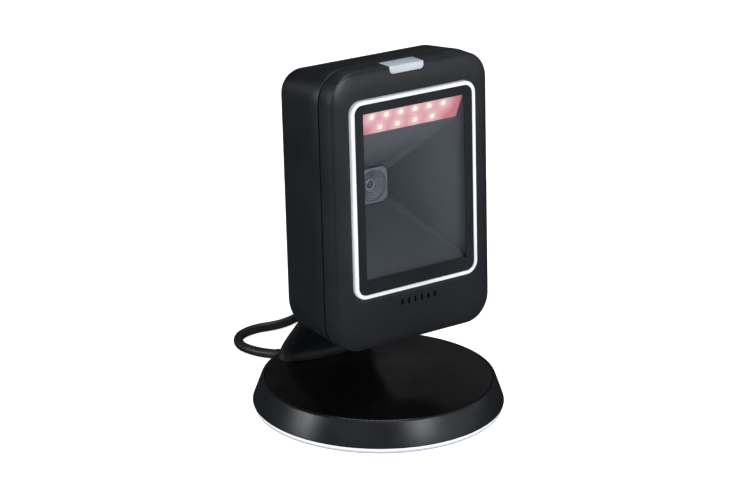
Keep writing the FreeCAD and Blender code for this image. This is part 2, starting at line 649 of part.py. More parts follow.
def base_parts():
    outer, cover, rear = neck_parts()
    boot, boot_start, exit_direction = boot_form()
    save("strain_relief", boot)
    save("base_shell", base_shell(boot, exit_direction))
    plate = rod((0, 0, DECK_TOP_Z), UP, PLATE_T, PLATE_R)
    rim = [edge for edge in plate.Edges if edge.BoundBox.ZMin > BASE_TOP_Z - 0.01]
    save("base_top_plate", plate.makeFillet(0.4, rim).cut(outer))
    save("bottom_cover", bottom_cover(boot))
    save("ballast_plate", ballast_plate())
    save("rubber_feet", *[rod(polar(FOOT_RING_R, angle), UP, FOOT_T, FOOT_R) for angle in FOOT_ANGLES])
    tips = [polar(BASE_SCREW_RING_R, angle, 8.4) for angle in BASE_SCREW_ANGLES]
    save("base_screws", *[screw(tip, (0, 0, -1), 6.5, 1.0, 2.3, 1.2) for tip in tips])
    save("neck_front_cover", cover)
    save("neck_rear_shell", rear)
    tips = [(x, NECK_SCREW_Y, DECK_TOP_Z + 4.5) for x in (-NECK_SCREW_X, NECK_SCREW_X)]
    save("neck_screws", *[screw(tip, (0, 0, -1), 4.5 + DECK_T, 1.0, 2.3, 1.4) for tip in tips])
    hinge_parts()
    inner_lead_parts(boot_start)


def inner_lead_parts(boot_start):
    lead = (
        V(0, 22.3, 34.0),
        V(0, 30.9, 24.0),
        V(0, 36.4, 15.0),
        V(0, 36.2, 6.2),
        boot_start,
    )
    inner_lead = tube(lead, 3.2, "inner_lead")
    save("inner_lead", inner_lead)
    save("lead_clamp", box((-5.5, 38.6, SKIRT_FOOT_Z), (4.0, 41.4, DECK_LOW_Z)).cut(inner_lead))


def cable_parts():
    save("usb_cable", tube(CORD_ROUTE, CORD_D, "usb_cable"))
    coil = turned((
        (COIL_INNER_R + 1, COIL_LOW_Z), (COIL_OUTER_R - 1, COIL_LOW_Z), (COIL_OUTER_R, COIL_LOW_Z + 1),
        (COIL_OUTER_R, COIL_TOP_Z - 1), (COIL_OUTER_R - 1, COIL_TOP_Z), (COIL_INNER_R + 1, COIL_TOP_Z),
        (COIL_INNER_R, COIL_TOP_Z - 1), (COIL_INNER_R, COIL_LOW_Z + 1),
    ), COIL_CENTRE)
    save("cable_coil", coil)
    tie = box(
        (COIL_INNER_R - TIE_T, -TIE_W / 2, COIL_LOW_Z - TIE_T),
        (COIL_OUTER_R + TIE_T, TIE_W / 2, COIL_TOP_Z + TIE_T),
    )
    tie = tie.makeFillet(1.0, [e for e in tie.Edges if abs(e.Vertexes[0].Y - e.Vertexes[1].Y) > TIE_W - 0.1])
    tie.Placement = FreeCAD.Placement(COIL_CENTRE, FreeCAD.Rotation(UP, TIE_ANGLE_DEG))
    save("cable_tie", tie.cut(coil))


def tail_parts():
    """The lead's last bend, which lies on the coil, and its plug."""
    tail_far_y = TAIL_NEAR_Y + 2 * TAIL_R
    near_start = V(TAIL_TURN_X + 11, TAIL_NEAR_Y, TAIL_Z)
    turn_start = V(TAIL_TURN_X, TAIL_NEAR_Y, TAIL_Z)
    turn_middle = V(TAIL_TURN_X - TAIL_R, TAIL_NEAR_Y + TAIL_R, TAIL_Z)
    turn_end = V(TAIL_TURN_X, tail_far_y, TAIL_Z)
    path = Part.Wire([
        Part.LineSegment(near_start, turn_start).toShape(),
        Part.Arc(turn_start, turn_middle, turn_end).toShape(),
    ])
    section = Part.Wire([Part.makeCircle(CORD_D / 2, near_start, turn_start - near_start)])
    save("cable_tail", path.makePipeShell([section], True, False))
    plug_z = TAIL_Z + 2.0
    body_x = TAIL_TURN_X + PLUG_RELIEF
    shell_x = body_x + PLUG_BODY
    relief = Part.makeCone(2.3, 3.4, PLUG_RELIEF, V(TAIL_TURN_X, tail_far_y, TAIL_Z), ACROSS)
    low_z = COIL_TOP_Z
    body = box((body_x, tail_far_y - PLUG_W / 2, low_z), (shell_x, tail_far_y + PLUG_W / 2, low_z + PLUG_T))
    body = body.makeFillet(1.2, body.Edges)
    save("usb_plug_body", fused(body, relief))
    metal = box(
        (shell_x, tail_far_y - PLUG_SHELL_W / 2, plug_z - PLUG_SHELL_T / 2),
        (shell_x + PLUG_SHELL, tail_far_y + PLUG_SHELL_W / 2, plug_z + PLUG_SHELL_T / 2),
    )
    wall = 0.35
    bay = box(
        (shell_x + 1, tail_far_y - PLUG_SHELL_W / 2 + wall, plug_z - PLUG_SHELL_T / 2 + wall),
        (shell_x + PLUG_SHELL, tail_far_y + PLUG_SHELL_W / 2 - wall, plug_z + PLUG_SHELL_T / 2 - wall),
    )
    save("usb_plug_shell", metal.cut(bay))
    tongue = box(
        (shell_x + 1, tail_far_y - PLUG_SHELL_W / 2 + wall, plug_z - 0.1),
        (shell_x + PLUG_SHELL - 0.8, tail_far_y + PLUG_SHELL_W / 2 - wall, plug_z + PLUG_SHELL_T / 2 - wall),
    )
    save("usb_plug_tongue", tongue)


os.makedirs("parts", exist_ok=True)
base_parts()
cable_parts()
tail_parts()
head_parts()
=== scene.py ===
import json
import math

import bmesh
import bpy
from mathutils import Matrix, Vector


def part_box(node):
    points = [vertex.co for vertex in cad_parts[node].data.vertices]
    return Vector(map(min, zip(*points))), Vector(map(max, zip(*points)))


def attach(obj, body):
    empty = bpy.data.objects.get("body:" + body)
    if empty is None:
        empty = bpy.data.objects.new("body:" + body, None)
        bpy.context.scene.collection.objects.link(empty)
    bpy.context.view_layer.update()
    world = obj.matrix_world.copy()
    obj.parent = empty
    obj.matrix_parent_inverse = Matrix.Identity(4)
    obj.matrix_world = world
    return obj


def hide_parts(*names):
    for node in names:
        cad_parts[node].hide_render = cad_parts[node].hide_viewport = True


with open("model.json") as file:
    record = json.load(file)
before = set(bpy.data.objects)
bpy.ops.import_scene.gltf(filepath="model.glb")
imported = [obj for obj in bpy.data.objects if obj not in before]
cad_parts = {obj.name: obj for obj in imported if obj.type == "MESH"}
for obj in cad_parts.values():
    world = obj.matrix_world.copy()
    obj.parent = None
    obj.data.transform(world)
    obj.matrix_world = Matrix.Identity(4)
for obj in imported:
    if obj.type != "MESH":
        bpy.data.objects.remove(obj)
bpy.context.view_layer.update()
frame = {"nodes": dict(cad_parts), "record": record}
MM = 0.001

# ---------------------------------------------------------------- frames of reference


def centre_of(node):
    low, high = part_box(node)
    return (low + high) / 2


PANE_IN_HEAD = Vector((0, 1.15, -1.0)) * MM  # the pane's middle, in the head's frame


def head_frame():
    """X across the head, Y back from the window, Z up it, from the way that the flat window pane faces."""
    pane = frame["nodes"]["window_glass"].data
    facing = max(pane.polygons, key=lambda polygon: polygon.area).normal
    lean = math.atan2(abs(facing.z), abs(facing.y))
    leaned = Matrix.Translation(centre_of("window_glass")) @ Matrix.Rotation(-lean, 4, "X")
    return leaned @ Matrix.Translation(-PANE_IN_HEAD)


HEAD = head_frame() @ Matrix.Scale(MM, 4)
WORLD = Matrix.Scale(MM, 4)

# ---------------------------------------------------------------- camera, lights and floor

CAMERA_BACK = Vector((-0.5531, -0.7610, 0.3389)).normalized()
CAMERA_RIGHT = Vector((0.8089, -0.5879, 0.0)).normalized()
CAMERA_ROLL = math.radians(-0.30)
CAMERA_PLACE = Vector((-0.5412, -0.7418, 0.3960))
CAMERA_LENS = 120.5


def add_camera():
    up = CAMERA_BACK.cross(CAMERA_RIGHT)
    right = CAMERA_RIGHT * math.cos(CAMERA_ROLL) - up * math.sin(CAMERA_ROLL)
    up = CAMERA_RIGHT * math.sin(CAMERA_ROLL) + up * math.cos(CAMERA_ROLL)
    data = bpy.data.cameras.new("camera")
    data.sensor_width = 36.0
    data.lens = CAMERA_LENS
    data.clip_start = 0.05
    camera = bpy.data.objects.new("camera", data)
    bpy.context.scene.collection.objects.link(camera)
    turn = Matrix((right, up, CAMERA_BACK)).transposed().to_4x4()
    camera.matrix_world = Matrix.Translation(CAMERA_PLACE) @ turn
    bpy.context.scene.camera = camera


def add_light(name, place, target, size, power):
    data = bpy.data.lights.new(name, "AREA")
    data.shape = "RECTANGLE"
    data.size, data.size_y = size
    data.energy = power
    data.color = LIGHT_COLOUR
    light = bpy.data.objects.new(name, data)
    bpy.context.scene.collection.objects.link(light)
    aim = Vector(target) - Vector(place)
    light.matrix_world = Matrix.Translation(place) @ aim.to_track_quat("-Z", "Y").to_matrix().to_4x4()
    return light


SCANNER_MIDDLE = (0, 0, 0.06)
LIGHTS = {
    # name: (place, size, power), all aimed at the scanner's middle
    "left_box": ((-1.17, 0.34, 0.40), (0.18, 0.60), 6.1),
    "left_fill": ((-0.95, -0.62, 0.36), (0.70, 0.50), 0.6),
    "front_box": ((0.12, -1.35, 0.60), (0.42, 0.60), 9.0),
    "low_card": ((0.75, -1.05, 0.16), (0.90, 0.20), 1.2),
    "top_box": ((0.10, 0.10, 1.5), (1.0, 1.0), 10.0),
    "back_card": ((1.06, 0.98, 0.62), (0.80, 0.50), 0.11),
    "rim_box": ((-0.75, 1.10, 0.50), (0.30, 0.60), 0.4),
    "right_box": ((1.25, -0.45, 0.45), (0.40, 0.60), 0.9),
    "high_front": ((-0.20, -0.95, 1.15), (0.60, 0.50), 1.3),
    "high_back": ((0.42, 0.62, 1.32), (0.50, 0.30), 1.2),
}
LIGHT_COLOUR = (0.94, 0.975, 1.0)
WORLD_STRENGTH = 0.015
FLOOR_GLOW = 0.9
FLOOR_SIZE = 8


def add_studio():
    scene = bpy.context.scene
    scene.view_settings.view_transform = "Standard"
    world = bpy.data.worlds.new("studio")
    world.use_nodes = True
    world.node_tree.nodes["Background"].inputs["Color"].default_value = (1, 1, 1, 1)
    world.node_tree.nodes["Background"].inputs["Strength"].default_value = WORLD_STRENGTH
    scene.world = world
    for name, (place, size, power) in LIGHTS.items():
        add_light(name, place, SCANNER_MIDDLE, size, power)
    bpy.ops.mesh.primitive_plane_add(size=FLOOR_SIZE)
    floor = bpy.context.object
    floor.name = "floor"
    floor.visible_glossy = False
    floor.data.materials.append(floor_material())


# ---------------------------------------------------------------- materials


class Nodes:
    """A material's node tree, with short ways to add to it."""

    def __init__(self, name):
        self.material = bpy.data.materials.new(name)
        self.material.use_nodes = True
        self.tree = self.material.node_tree
        self.shader = self.tree.nodes["Principled BSDF"]
        self.place = self.add("ShaderNodeTexCoord").outputs["Object"]

    def add(self, kind, **settings):
        node = self.tree.nodes.new(kind)
        for key, value in settings.items():
            setattr(node, key, value)
        return node

    def link(self, source, target):
        self.tree.links.new(source, target)

    def set(self, **values):
        for key, value in values.items():
            self.shader.inputs[key.replace("_", " ")].default_value = value
        return self

    def noise(self, scale, detail, stretch=None):
        node = self.add("ShaderNodeTexNoise")
        node.inputs["Scale"].default_value = scale
        node.inputs["Detail"].default_value = detail
        source = self.place
        if stretch:
            mapping = self.add("ShaderNodeMapping")
            mapping.inputs["Scale"].default_value = stretch
            self.link(source, mapping.inputs["Vector"])
            source = mapping.outputs["Vector"]
        self.link(source, node.inputs["Vector"])
        return node.outputs["Fac"]

    def remap(self, source, low, high, start=0.3, end=0.7):
        node = self.add("ShaderNodeMapRange")
        for key, value in (("From Min", start), ("From Max", end), ("To Min", low), ("To Max", high)):
            node.inputs[key].default_value = value
        self.link(source, node.inputs["Value"])
        return node.outputs["Result"]

    def mix(self, share, first, second):
        node = self.add("ShaderNodeMix", data_type="RGBA")
        node.inputs["A"].default_value = (*first, 1)
        node.inputs["B"].default_value = (*second, 1)
        self.link(share, node.inputs["Factor"])
        return node.outputs["Result"]

    def colour(self, source):
        self.link(source, self.shader.inputs["Base Color"])

    def rough(self, source):
        self.link(source, self.shader.inputs["Roughness"])

    def bump(self, source, depth, strength, under=None):
        node = self.add("ShaderNodeBump")
        node.inputs["Strength"].default_value = strength
        node.inputs["Distance"].default_value = depth
        self.link(source, node.inputs["Height"])
        if under:
            self.link(under, node.inputs["Normal"])
        self.link(node.outputs["Normal"], self.shader.inputs["Normal"])
        return node.outputs["Normal"]


def island_centres(mesh):
    """The middle of each separate solid in a mesh."""
    left = set(mesh.verts)
    centres = []
    while left:
        found = [left.pop()]
        for vertex in found:
            for edge in vertex.link_edges:
                other = edge.other_vert(vertex)
                if other in left:
                    left.remove(other)
                    found.append(other)
        centres.append(sum((vertex.co for vertex in found), Vector()) / len(found))
    return sorted(centres, key=lambda centre: (round(centre.z, 3), centre.x))


def led_centres():
    """The middle of each LED on the lighting panel."""
    mesh = bmesh.new()
    mesh.from_mesh(frame["nodes"]["illumination_leds"].data)
    bmesh.ops.remove_doubles(mesh, verts=mesh.verts, dist=1e-6)
    centres = island_centres(mesh)
    mesh.free()
    return centres


def shade(colour, factor):
    return tuple(min(1.0, channel * factor) for channel in colour)


PLASTIC_GRAIN = 3200
PLASTIC_SPREAD = 0.06  # how far handling marks change the roughness


def plastic(name, colour, rough, grain_depth=0.000012, specular=0.5):
    """Moulded plastic: a fine spark-eroded grain, slow changes of tone, and faint handling marks."""
    m = Nodes(name)
    m.set(IOR=1.5, Specular_IOR_Level=specular)
    tone = m.remap(m.noise(22, 2), 0, 1)
    m.colour(m.mix(tone, shade(colour, 0.86), shade(colour, 1.18)))
    m.rough(m.remap(m.noise(70, 5), rough - PLASTIC_SPREAD, rough + PLASTIC_SPREAD))
    broad = m.bump(m.noise(260, 2), 0.000008, 0.4)
    m.bump(m.noise(PLASTIC_GRAIN, 2), grain_depth, 0.8, broad)
    return m.material


def gloss(name, colour, rough):
    """Polished plastic with hairline wipe marks and a faint smudge."""
    m = Nodes(name)
    m.set(IOR=1.5)
    m.colour(m.mix(m.remap(m.noise(18, 2), 0, 1), shade(colour, 0.8), shade(colour, 1.3)))
    m.rough(m.remap(m.noise(38, 6), rough * 0.6, rough * 1.8))
    m.bump(m.noise(1500, 2, (1, 0.08, 1)), 0.0000015, 0.5)
    return m.material


BRUSHED = (1, 1, 12)


def metal(name, colour, rough):
    """Brushed metal, with its marks drawn out along one direction."""
    m = Nodes(name)
    m.set(Metallic=1.0)
    m.colour(m.mix(m.remap(m.noise(900, 4, BRUSHED), 0, 1), shade(colour, 0.75), shade(colour, 1.2)))
    m.rough(m.remap(m.noise(600, 4, BRUSHED), rough - 0.08, rough + 0.12))
    m.bump(m.noise(2500, 3, BRUSHED), 0.000004, 0.6)
    return m.material


def board(name, colour):
    """A circuit board's solder mask, with the traces showing through it."""
    m = Nodes(name)
    m.set(Coat_Weight=0.3)
    traces = m.remap(m.noise(420, 1, (1, 1, 0.15)), 0, 1, 0.48, 0.52)
    m.colour(m.mix(traces, shade(colour, 0.7), shade(colour, 1.4)))
    m.rough(m.remap(m.noise(300, 3), 0.28, 0.42))
    m.bump(traces, 0.00003, 0.5)
    return m.material


def rubber(name, colour, rough=0.6):
    m = Nodes(name)
    m.colour(m.mix(m.remap(m.noise(60, 4), 0, 1), shade(colour, 0.8), shade(colour, 1.5)))
    m.rough(m.remap(m.noise(240, 4), rough - 0.1, rough + 0.1))
    m.bump(m.noise(1800, 3), 0.00002, 0.6)
    return m.material


def woven(name, colour, scale=900):
    m = Nodes(name)
    wave = m.add("ShaderNodeTexWave")
    wave.inputs["Scale"].default_value = scale
    wave.inputs["Distortion"].default_value = 2.0
    m.link(m.place, wave.inputs["Vector"])
    m.set(Roughness=0.9, Sheen_Weight=0.4)
    m.colour(m.mix(wave.outputs["Fac"], shade(colour, 0.6), shade(colour, 1.6)))
    m.bump(wave.outputs["Fac"], 0.0001, 0.8)
    return m.material


def window_pane(name):
    """Clear glazing, which reflects more at a glancing angle, the same from both of its sides."""
    m = Nodes(name)
    out = m.tree.nodes["Material Output"]
    clear = m.add("ShaderNodeBsdfTransparent")
    clear.inputs["Color"].default_value = (0.84, 0.855, 0.87, 1)
    m.set(Base_Color=(0.02, 0.02, 0.02, 1), IOR=1.5)
    m.rough(m.remap(m.noise(45, 5), 0.02, 0.07))
    facing = m.add("ShaderNodeLayerWeight")
    facing.inputs["Blend"].default_value = 0.5
    glancing = m.add("ShaderNodeMath", operation="POWER")
    glancing.inputs[1].default_value = 5
    m.link(facing.outputs["Facing"], glancing.inputs[0])
    mixer = m.add("ShaderNodeMixShader")
    m.link(m.remap(glancing.outputs["Value"], 0.04, 1, 0, 1), mixer.inputs["Fac"])
    m.link(clear.outputs["BSDF"], mixer.inputs[1])
    m.link(m.shader.outputs["BSDF"], mixer.inputs[2])
    m.link(mixer.outputs["Shader"], out.inputs["Surface"])
    return m.material


def glow(name, colour, emission, strength):
    """Lit resin, with slightly uneven light."""
    m = Nodes(name)
    m.set(Roughness=0.35, Emission_Strength=strength)
    patches = m.remap(m.noise(900, 3), 0, 1)
    m.colour(m.mix(patches, shade(colour, 0.85), shade(colour, 1.1)))
    m.link(m.mix(patches, shade(emission, 0.8), shade(emission, 1.15)), m.shader.inputs["Emission Color"])
    m.bump(m.noise(2200, 2), 0.00001, 0.5)
    return m.material


def painted_glow_panel(name, colour, painted_glows, lamps):
    """A diffusing panel with painted glow: it emits a dim red everywhere and is painted brightest round
    each of its lamps, standing in for their light falling on it; the glow stops are pairs of nearness and
    colour.
    """
    m = Nodes(name)
    m.set(Roughness=0.4, Emission_Strength=1.0)
    light = None
    for lamp in lamps:
        distance = m.add("ShaderNodeVectorMath", operation="DISTANCE")
        distance.inputs[1].default_value = lamp
        m.link(m.place, distance.inputs[0])
        # painted glow: emission brightest near each LED, standing in for the light it casts on the panel
        painted_halo = m.remap(distance.outputs["Value"], 1, 0, 0.0004, 0.0062)
        if light:
            brighter = m.add("ShaderNodeMath", operation="MAXIMUM")
            m.link(light, brighter.inputs[0])
            m.link(painted_halo, brighter.inputs[1])
            painted_halo = brighter.outputs["Value"]
        light = painted_halo
    ramp = m.add("ShaderNodeValToRGB")
    stops = ramp.color_ramp.elements
    while len(stops) < len(painted_glows):
        stops.new(1.0)
    for stop, (nearness, tint) in zip(stops, painted_glows):
        stop.position = nearness
        stop.color = (*tint, 1)
    m.link(light, ramp.inputs["Fac"])
    m.link(ramp.outputs["Color"], m.shader.inputs["Emission Color"])
    m.colour(m.mix(m.remap(m.noise(300, 3), 0, 1), shade(colour, 0.85), shade(colour, 1.1)))
    m.bump(m.noise(2200, 2), 0.00001, 0.5)
    return m.material


def painted_shade_plastic(name, bright, shaded, low, high):
    """White plastic with painted shade: greyer towards the bottom, where its rounded lower edge falls in
    shade.
    """
    m = Nodes(name)
    m.set(IOR=1.5)
    split = m.add("ShaderNodeSeparateXYZ")
    m.link(m.place, split.inputs["Vector"])
    # painted shade: from the shaded grey low down to the bright white higher up
    m.colour(m.mix(m.remap(split.outputs["Z"], 0, 1, low, high), shaded, bright))
    m.rough(m.remap(m.noise(70, 5), 0.35, 0.5))
    m.bump(m.noise(3200, 2), 0.000008, 0.6)
    return m.material


LENS_R = 1.8
LENS_RIDGES = 5
RIDGE_MARGIN = 0.1  # from the barrel's rim to its first ridge
RIDGE_MIDDLE = 0.23  # the middle of a ridge's crest, as a share of the pitch


def ridge_pitch(barrel_r):
    return (barrel_r - LENS_R - 0.4) / LENS_RIDGES


def ridged_painted_shade(name, painted_crest_highlight, painted_valley_shade):
    """Turned plastic with a painted highlight on each ridge's crest and painted shade in the valleys
    between them.
    """
    m = Nodes(name)
    m.set(IOR=1.5)
    low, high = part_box("lens_barrel")
    barrel_r = (high.x - low.x) / 2 / MM
    pitch = ridge_pitch(barrel_r)
    distance = m.add("ShaderNodeVectorMath", operation="DISTANCE")
    distance.inputs[1].default_value = (low + high) / 2
    m.link(m.place, distance.inputs[0])
    phase = m.add("ShaderNodeMath", operation="MULTIPLY_ADD")
    phase.inputs[1].default_value = -2 * math.pi / (pitch * MM)
    phase.inputs[2].default_value = 2 * math.pi * ((barrel_r - RIDGE_MARGIN) / pitch - RIDGE_MIDDLE)
    m.link(distance.outputs["Value"], phase.inputs[0])
    wave = m.add("ShaderNodeMath", operation="COSINE")
    m.link(phase.outputs["Value"], wave.inputs[0])
    # painted highlight on the crests and painted shade in the valleys, by distance from the lens axis
    m.colour(m.mix(m.remap(wave.outputs["Value"], 0, 1, -0.6, 0.8), painted_valley_shade, painted_crest_highlight))
    m.rough(m.remap(m.noise(70, 5), 0.24, 0.36))
    m.bump(m.noise(3200, 2), 0.000004, 0.8)
    return m.material


def floor_material():
    m = Nodes("floor_paper")
    m.set(Roughness=0.9, Emission_Color=(1, 1, 1, 1), Emission_Strength=FLOOR_GLOW)
    m.colour(m.mix(m.noise(4, 2), (0.90, 0.90, 0.905), (0.92, 0.92, 0.92)))
    return m.material


BLACK = (0.0070, 0.0078, 0.0100)
# Painted glow of the lighting panel, from far from an LED to on it: nearness and emission colour
PANEL_PAINTED_GLOWS = (
    (0.0, (0.54, 0.17, 0.20)),
    (0.80, (0.92, 0.60, 0.62)),
    (0.93, (1.0, 0.84, 0.66)),
    (1.0, (1.0, 0.9, 0.7)),
)
SLOT_MATERIALS = {
    "shell_black": plastic("shell_black_satin", BLACK, 0.37),
    "face_black": plastic("face_black_satin", (0.0100, 0.0110, 0.0140), 0.42),
    "plate_gloss": gloss("plate_black_gloss", (0.0035, 0.0035, 0.0037), 0.19),
    "neck_black": plastic("neck_black_satin", BLACK, 0.56, specular=0.28),
    "ring_white": plastic("ring_white_satin", (0.82, 0.82, 0.86), 0.3, grain_depth=0.000004),
    # painted shade on the lower edge of the white cover
    "cover_white": painted_shade_plastic("cover_white_painted_shade", (0.93, 0.93, 0.95), (0.42, 0.43, 0.48), 0.0015, 0.0020),
    "clear_window": window_pane("window_clear"),
    "mask_black": gloss("mask_black_print", (0.016, 0.017, 0.020), 0.12),
    "foam_black": rubber("foam_black_cells", (0.015, 0.015, 0.015), 0.85),
    "pipe_silver": plastic("pipe_silver_frosted", (0.52, 0.54, 0.59), 0.28, grain_depth=0.000006),
    "chamber_grey": plastic("chamber_grey_satin", (0.195, 0.203, 0.217), 0.5),
    "panel_red": painted_glow_panel("panel_red_painted_glow", (0.5, 0.18, 0.20), PANEL_PAINTED_GLOWS, led_centres()),
    "led_warm": glow("led_warm_lit", (0.8, 0.75, 0.5), (1.0, 0.92, 0.70), 1.05),
    "bezel_grey": plastic("bezel_grey_satin", (0.32, 0.335, 0.375), 0.42),
    # painted highlight on the lens barrel's ridges and painted shade between them
    "barrel_black": ridged_painted_shade("barrel_grey_painted_ridge_shade", (0.72, 0.73, 0.78), (0.20, 0.20, 0.22)),
    "lens_clear": gloss("lens_coated", (0.17, 0.18, 0.21), 0.08),
    "board_green": board("board_green_mask", (0.01, 0.10, 0.04)),
    "chip_black": plastic("chip_black_moulded", (0.015, 0.015, 0.015), 0.55),
    "socket_ivory": plastic("socket_ivory_moulded", (0.62, 0.58, 0.46), 0.45),
    "steel_plated": metal("steel_zinc_plated", (0.6, 0.6, 0.62), 0.3),
    "steel_ballast": metal("steel_ballast_mill", (0.3, 0.3, 0.31), 0.45),
    "felt_grey": woven("felt_grey_fibres", (0.08, 0.08, 0.08), 1500),
    "rubber_foot": rubber("rubber_foot_matte", (0.02, 0.02, 0.02)),
    "cord_black": rubber("cord_black_jacket", (0.010, 0.010, 0.011), 0.42),
    "tie_black": woven("tie_black_weave", (0.02, 0.02, 0.02)),
    "plug_black": plastic("plug_black_overmould", (0.012, 0.012, 0.013), 0.5),
    "plug_white": plastic("plug_white_tongue", (0.8, 0.8, 0.8), 0.4),
}


def dress_cad_nodes():
    """Give every node of the CAD model the detailed material of its slot."""
    slots = {part["node"]: part["material_slot"] for part in frame["record"]["subparts"]}
    for name, node in frame["nodes"].items():
        for place in node.material_slots:
            place.material = SLOT_MATERIALS[slots[name]]


# ---------------------------------------------------------------- mesh kit

CORNER_STEPS = 10
SIDE_STEPS = 6
SOFTENED_DEG = 32  # edges sharper than this are rounded
FLAT_DEG = 0.6  # faces closer to one plane than this are made one


def head_box(node):
    """Lowest and highest corners of a node in the head's frame, in millimetres."""
    to_head = HEAD.inverted()
    points = [to_head @ vertex.co for vertex in frame["nodes"][node].data.vertices]
    columns = list(zip(*points))
    return Vector(map(min, columns)), Vector(map(max, columns))


def outline(half_w, low, high, radius, y, low_radius=None):
    """A rounded rectangle that stands at one depth of the head, as a ring of points."""
    low_radius = low_radius or radius
    corners = (
        (half_w - radius, high - radius, radius, 0),
        (radius - half_w, high - radius, radius, 90),
        (low_radius - half_w, low + low_radius, low_radius, 180),
        (half_w - low_radius, low + low_radius, low_radius, 270),
    )
    arcs = []
    for x, z, corner_r, start in corners:
        turns = [math.radians(start + 90 * step / CORNER_STEPS) for step in range(CORNER_STEPS + 1)]
        arcs.append([Vector((x + corner_r * math.cos(t), y, z + corner_r * math.sin(t))) for t in turns])
    points = []
    for arc, after in zip(arcs, arcs[1:] + arcs[:1]):
        points += arc
        points += [arc[-1].lerp(after[0], step / SIDE_STEPS) for step in range(1, SIDE_STEPS)]
    return points


def blended(first, second, share, y):
    """A ring part of the way from one ring to another, at a depth of its own."""
    points = [a.lerp(b, share) for a, b in zip(first, second)]
    return [Vector((point.x, y, point.z)) for point in points]


def circle(radius, height, steps=64):
    turns = [2 * math.pi * step / steps for step in range(steps)]
    return [Vector((radius * math.cos(t), radius * math.sin(t), height)) for t in turns]


def skin(rings, closed=False):
    """Faces between rings of equal length: a closed loop of rings, or a run with both ends filled."""
    mesh = bmesh.new()
    loops = [[mesh.verts.new(point) for point in ring] for ring in rings]
    pairs = list(zip(loops, loops[1:]))
    if closed:
        pairs.append((loops[-1], loops[0]))
    else:
        mesh.faces.new(loops[0])
        mesh.faces.new(loops[-1])
    for first, second in pairs:
        for k in range(len(first)):
            after = (k + 1) % len(first)
            mesh.faces.new((first[k], first[after], second[after], second[k]))
    bmesh.ops.recalc_face_normals(mesh, faces=mesh.faces)
    return mesh


def as_object(mesh, name="cutter"):
    data = bpy.data.meshes.new(name)
    mesh.to_mesh(data)
    mesh.free()
    made = bpy.data.objects.new(name, data)
    bpy.context.scene.collection.objects.link(made)
    return made


def applied(made):
    """Turn an object's modifiers into its mesh."""
    made_now = made.evaluated_get(bpy.context.evaluated_depsgraph_get())
    data = bpy.data.meshes.new_from_object(made_now)
    made.modifiers.clear()
    made.data = data
    return made


def carve(made, cutters):
    """Cut shapes out of an object, exactly."""
    for cutter in cutters:
        modifier = made.modifiers.new("cut", "BOOLEAN")
        modifier.solver = "EXACT"
        modifier.object = cutter
    applied(made)
    for cutter in cutters:
        bpy.data.objects.remove(cutter)
    return made


def joined(made, others):
    """Add shapes to an object, exactly."""
    for other in others:
        modifier = made.modifiers.new("join", "BOOLEAN")
        modifier.operation = "UNION"
        modifier.solver = "EXACT"
        modifier.object = other
    applied(made)
    for other in others:
        bpy.data.objects.remove(other)
    return made


def soften(made, width):
    """Round the sharp edges of an object, as a mould does."""
    modifier = made.modifiers.new("edges", "BEVEL")
    modifier.width = width
    modifier.segments = 2
    modifier.limit_method = "ANGLE"
    modifier.angle_limit = math.radians(SOFTENED_DEG)
    modifier.harden_normals = False
    return applied(made)


def place_piece(made, body, slot, nodes, place=WORLD, sharp_deg=38):
    """Bring a piece into the frame, shade it, and let it stand for its CAD nodes."""
    made.data.transform(place)
    made.data.shade_smooth()
    made.data.set_sharp_from_angle(angle=math.radians(sharp_deg))
    made.data.materials.clear()
    made.data.materials.append(SLOT_MATERIALS[slot])
    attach(made, body)
    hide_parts(*nodes)
    return made


def softened_copy(node, width):
    """A piece of a CAD node's own shape, with its planes made whole and its sharp edges rounded."""
    record = frame["record"]
    body = next(body for body, nodes in record["behaviour"]["bodies"].items() if node in nodes)
    slot = next(part["material_slot"] for part in record["subparts"] if part["node"] == node)
    mesh = bmesh.new()
    mesh.from_mesh(frame["nodes"][node].data)
    mesh.transform(WORLD.inverted())
    bmesh.ops.remove_doubles(mesh, verts=mesh.verts, dist=0.0005)
    bmesh.ops.dissolve_limit(mesh, angle_limit=math.radians(FLAT_DEG), verts=mesh.verts, edges=mesh.edges)
    made = soften(as_object(mesh, node + "_moulded"), width)
    return place_piece(made, body, slot, [node])


# ---------------------------------------------------------------- the head

EDGE_DEPTH = 2.9
CROWN_DEPTH = 1.1
CROWN_POWER = 3
CROWN_STEPS = 10
CROWN_START = 0.015
WINDOW_EDGE = 0.12  # the small chamfer where the face meets the window ring
EDGE_ROUND = 0.35
GROOVE = 0.12
SHELL_WALL = 2.2
LAP_T = 1.25
LAP_LENGTH = 2.4
LAP_GAP = 0.1
LAP_END_GAP = 0.2
SEAM_Y = 9.9
SEAM_GAP = 0.5
SEAM_BREAK = 0.2  # how far the edges at the seam are rounded off
SEAM_BREAK_MID = 0.06
FRONT_WALL_Y = 4.9
REAR_ROUND = 4.0
HEAD_DEPTH = 36.2
RING_R = 5.0
RING_BAND = 1.55
RING_LIP = (25.85, 33.45)
CUT_START_Y = -1.0  # in front of everything on the head
COUNTERBORE_R = 2.7
COUNTERBORE_DEPTH = 2.0
SHELL_SCREW_R = 2.3

# The head's outline: half width, lowest and highest Z, upper and lower corner radius
BAND_AT_EDGE = (36.2, -60.4, 47.7, 10.8, 10.8)
BAND_AT_SEAM = (36.65, -60.5, 47.95, 11.3, 11.3)
BODY_AT_SEAM = (36.85, -60.6, 48.0, 11.4, 11.4)
BODY_AT_BACK = (37.45, -59.4, 44.8, 8.6, 15.0)


